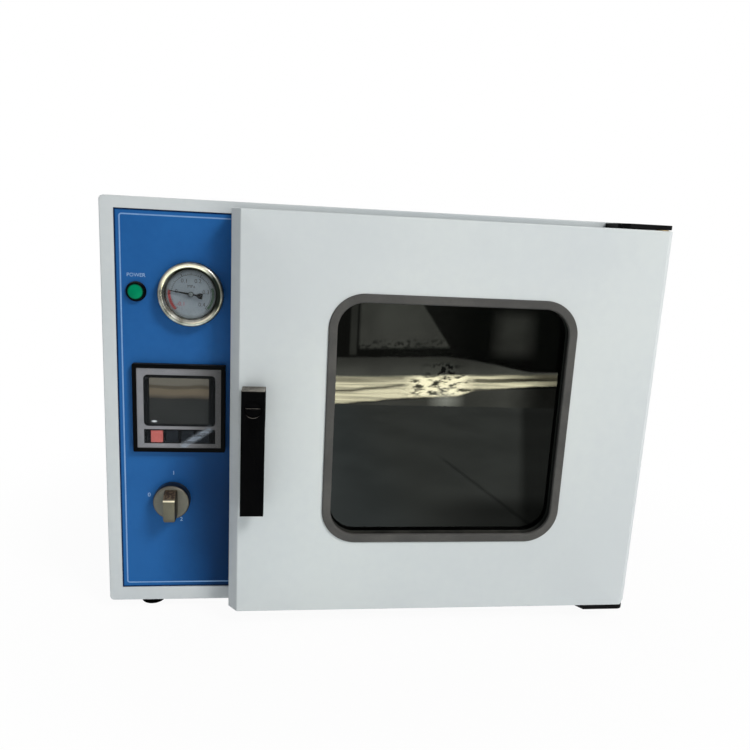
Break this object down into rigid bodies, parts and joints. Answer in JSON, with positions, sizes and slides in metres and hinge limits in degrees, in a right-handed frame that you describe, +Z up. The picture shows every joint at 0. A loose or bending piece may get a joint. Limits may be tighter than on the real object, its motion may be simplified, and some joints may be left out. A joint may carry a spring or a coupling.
{
  "type": "vacuum drying oven",
  "caption": "Bench vacuum oven: white cabinet, hinged glazed door with lever latch, heated steel chamber with shelves, blue panel with gauge, controller, lamp and switch, rear valves.",
  "frame": {"origin": "centre of the box round the whole oven, at the underside of its feet", "axes": "+X to the right seen from the front, +Y to the rear, +Z up"},
  "size_m": [0.65, 0.524, 0.495],
  "materials": {
    "white_paint": "fine textured powder coat",
    "blue_paint": "satin powder coat",
    "stainless": "brushed",
    "zinc_steel": "zinc plated",
    "silicone": "matte silicone",
    "mineral_wool": "fibrous",
    "heater": "silicone heater pad",
    "gauge_chrome": "polished, slightly warm",
    "dial_white": "matte",
    "clear_glass": "clear",
    "window_glass": "dark reflective",
    "brass": "machined",
    "copper": "drawn copper",
    "black_plastic": "fine grained",
    "handle_black": "satin moulded",
    "face_silver": "satin",
    "screen_dark": "glossy",
    "key_red": "satin",
    "lens_green": "translucent gloss",
    "knob_metal": "satin, warm grey",
    "needle_black": "matte black",
    "terminal_white": "matte",
    "foot_rubber": "matte",
    "moulding_grey": "satin rubber",
    "spacer_alu": "mill finish",
    "hinge_black": "black, semi-gloss",
    "lever_red": "dipped",
    "lever_blue": "dipped"
  },
  "bodies": {
    "cabinet": {"outer_shell": "white_paint", "rear_panel": "white_paint", "panel_screws": "zinc_steel", "front_fascia": "white_paint", "control_panel": "blue_paint", "bay_partition": "zinc_steel", "inner_chamber": "stainless", "door_seal": "silicone", "insulation": "mineral_wool", "heater_pads": "heater", "shelf_rails": "stainless", "lower_shelf": "stainless", "upper_shelf": "stainless", "temperature_probe": "stainless", "gauge_case": "zinc_steel", "gauge_bezel": "gauge_chrome", "gauge_dial": "dial_white", "gauge_glass": "clear_glass", "bourdon_tube": "brass", "controller_housing": "black_plastic", "controller_bezel": "black_plastic", "controller_face": "face_silver", "display_window": "screen_dark", "key_strip": "screen_dark", "controller_clamps": "black_plastic", "lamp_body": "black_plastic", "lamp_lens": "lens_green", "switch_body": "black_plastic", "vacuum_manifold": "brass", "vacuum_pipes": "copper", "vacuum_valve_body": "brass", "vent_valve_body": "brass", "hose_nozzle": "zinc_steel", "power_inlet": "black_plastic", "inlet_pins": "zinc_steel", "terminal_block": "terminal_white", "heater_relay": "black_plastic", "feet": "foot_rubber", "hinge_brackets": "hinge_black", "hinge_pins": "zinc_steel", "latch_keeper": "zinc_steel"},
    "door": {"door_skin": "white_paint", "door_back_frame": "stainless", "window_moulding": "moulding_grey", "outer_glass": "window_glass", "inner_glass": "window_glass", "glass_spacer": "spacer_alu", "hinge_bearings": "brass"},
    "handle": {"handle_lever": "handle_black", "handle_screw": "black_plastic", "latch_shaft": "zinc_steel"},
    "needle": {"gauge_needle": "needle_black"},
    "switch": {"switch_knob": "knob_metal", "switch_shaft": "zinc_steel"},
    "set_key": {"key_set": "key_red"},
    "shift_key": {"key_shift": "black_plastic"},
    "down_key": {"key_down": "black_plastic"},
    "up_key": {"key_up": "black_plastic"},
    "vacuum_lever": {"vacuum_valve_lever": "lever_red"},
    "vent_lever": {"vent_valve_lever": "lever_blue"}
  },
  "joints": [
    {"name": "door_swing", "type": "hinge", "parent": "cabinet", "child": "door", "pos_m": [0.303, -0.222, 0.256], "axis": [0, 0, 1], "range_deg": [0, 110]},
    {"name": "handle_turn", "type": "hinge", "parent": "door", "child": "handle", "pos_m": [-0.1535, -0.234, 0.278], "axis": [0, -1, 0], "range_deg": [0, 90]},
    {"name": "needle_sweep", "type": "hinge", "parent": "cabinet", "child": "needle", "pos_m": [-0.227, -0.195, 0.3915], "axis": [0, 1, 0], "range_deg": [-54, 216], "stiffness_Nm_per_rad": 0.002},
    {"name": "switch_turn", "type": "hinge", "parent": "cabinet", "child": "switch", "pos_m": [-0.2495, -0.188, 0.147], "axis": [0, 1, 0], "range_deg": [-90, 90]},
    {"name": "set_key_press", "type": "slide", "parent": "cabinet", "child": "set_key", "axis": [0, 1, 0], "range_m": [0, 0.0006], "stiffness_N_per_m": 300},
    {"name": "shift_key_press", "type": "slide", "parent": "cabinet", "child": "shift_key", "axis": [0, 1, 0], "range_m": [0, 0.0006], "stiffness_N_per_m": 300},
    {"name": "down_key_press", "type": "slide", "parent": "cabinet", "child": "down_key", "axis": [0, 1, 0], "range_m": [0, 0.0006], "stiffness_N_per_m": 300},
    {"name": "up_key_press", "type": "slide", "parent": "cabinet", "child": "up_key", "axis": [0, 1, 0], "range_m": [0, 0.0006], "stiffness_N_per_m": 300},
    {"name": "vacuum_valve_turn", "type": "hinge", "parent": "cabinet", "child": "vacuum_lever", "pos_m": [-0.265, 0.225, 0.358], "axis": [0, 0, -1], "range_deg": [0, 90]},
    {"name": "vent_valve_turn", "type": "hinge", "parent": "cabinet", "child": "vent_lever", "pos_m": [-0.207, 0.225, 0.358], "axis": [0, 0, -1], "range_deg": [0, 90]}
  ]
}
